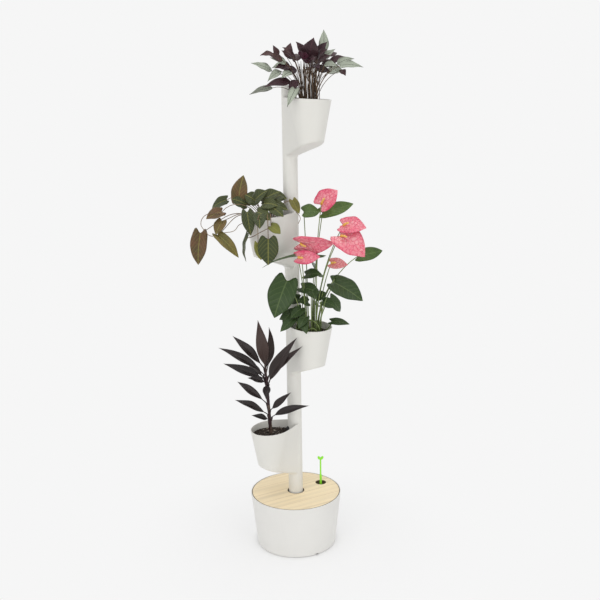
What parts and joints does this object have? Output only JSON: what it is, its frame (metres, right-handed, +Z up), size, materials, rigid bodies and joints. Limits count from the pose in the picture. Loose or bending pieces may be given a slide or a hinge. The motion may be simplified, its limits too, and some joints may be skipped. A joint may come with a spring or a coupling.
{
  "type": "vertical planter",
  "caption": "Free-standing self-watering plant tower: a round tank with a wooden lid carries a slim column of stacked, swivelling pots with house plants.",
  "frame": {"origin": "middle of the tank's underside on the floor, on the column's axis", "axes": "+Z up the column, -Y to the front, +X to the right as seen from the front"},
  "size_m": [0.5292, 0.2859, 1.4233],
  "materials": {
    "white_plastic": "satin",
    "dark_plastic": "matte",
    "grey_plastic": "matte",
    "rotor_plastic": "matte",
    "green_plastic": "gloss",
    "lid_wood": "matte",
    "black_rubber": "matte",
    "shaft_steel": "brushed",
    "soil": "rough",
    "cane_bark": "matte",
    "strap_leaf": "satin",
    "green_stalk": "matte",
    "heart_leaf": "satin",
    "pink_hood": "satin",
    "yellow_spike": "matte",
    "vine": "matte",
    "bronze_leaf": "satin",
    "brown_stem": "matte",
    "purple_leaf": "satin",
    "silver_leaf": "satin"
  },
  "bodies": {
    "base": {"tank_shell": "white_plastic", "cable_gland": "black_rubber", "column_post": "white_plastic", "hose_coupler": "dark_plastic", "supply_hose": "black_rubber", "pump_housing": "dark_plastic", "pump_cover": "dark_plastic", "pump_shaft": "shaft_steel", "pump_cups": "black_rubber", "float_guide": "grey_plastic"},
    "lid": {"tank_lid": "lid_wood"},
    "indicator": {"float_body": "grey_plastic", "indicator_stem": "green_plastic"},
    "rotor": {"pump_rotor": "rotor_plastic"},
    "module_4": {"pot_4_shell": "white_plastic", "pot_4_riser": "dark_plastic", "pot_4_nozzle": "dark_plastic", "pot_4_strainer": "dark_plastic", "pot_4_soil": "soil", "cordyline_cane": "cane_bark", "cordyline_leaves": "strap_leaf"},
    "module_3": {"pot_3_shell": "white_plastic", "pot_3_riser": "dark_plastic", "pot_3_nozzle": "dark_plastic", "pot_3_strainer": "dark_plastic", "pot_3_soil": "soil", "anthurium_stalks": "green_stalk", "anthurium_leaves": "heart_leaf", "anthurium_hoods": "pink_hood", "anthurium_spikes": "yellow_spike"},
    "module_2": {"pot_2_shell": "white_plastic", "pot_2_riser": "dark_plastic", "pot_2_nozzle": "dark_plastic", "pot_2_strainer": "dark_plastic", "pot_2_soil": "soil", "philodendron_vines": "vine", "philodendron_leaves": "bronze_leaf"},
    "module_1": {"pot_1_shell": "white_plastic", "pot_1_riser": "dark_plastic", "pot_1_nozzle": "dark_plastic", "pot_1_strainer": "dark_plastic", "pot_1_soil": "soil", "riser_plug": "dark_plastic", "top_plant_stems": "brown_stem", "top_plant_purple_leaves": "purple_leaf", "top_plant_grey_leaves": "silver_leaf"}
  },
  "joints": [
    {"name": "lid_lift", "type": "slide", "parent": "base", "child": "lid", "axis": [0, 0, 1], "range_m": [0, 0.045]},
    {"name": "float_travel", "type": "slide", "parent": "base", "child": "indicator", "axis": [0, 0, 1], "range_m": [-0.078, 0]},
    {"name": "rotor_spin", "type": "hinge", "parent": "base", "child": "rotor", "pos_m": [-0.07, 0, 0.033], "axis": [0, 1, 0], "continuous": true},
    {"name": "module_4_swivel", "type": "hinge", "parent": "base", "child": "module_4", "pos_m": [0, 0, 0], "axis": [0, 0, 1], "range_deg": [-130, 155]},
    {"name": "module_3_swivel", "type": "hinge", "parent": "module_4", "child": "module_3", "pos_m": [0, 0, 0], "axis": [0, 0, 1], "range_deg": [-5, 160]},
    {"name": "module_2_swivel", "type": "hinge", "parent": "module_3", "child": "module_2", "pos_m": [0, 0, 0], "axis": [0, 0, 1], "range_deg": [-140, 5]},
    {"name": "module_1_swivel", "type": "hinge", "parent": "module_2", "child": "module_1", "pos_m": [0, 0, 0], "axis": [0, 0, 1], "continuous": true}
  ]
}
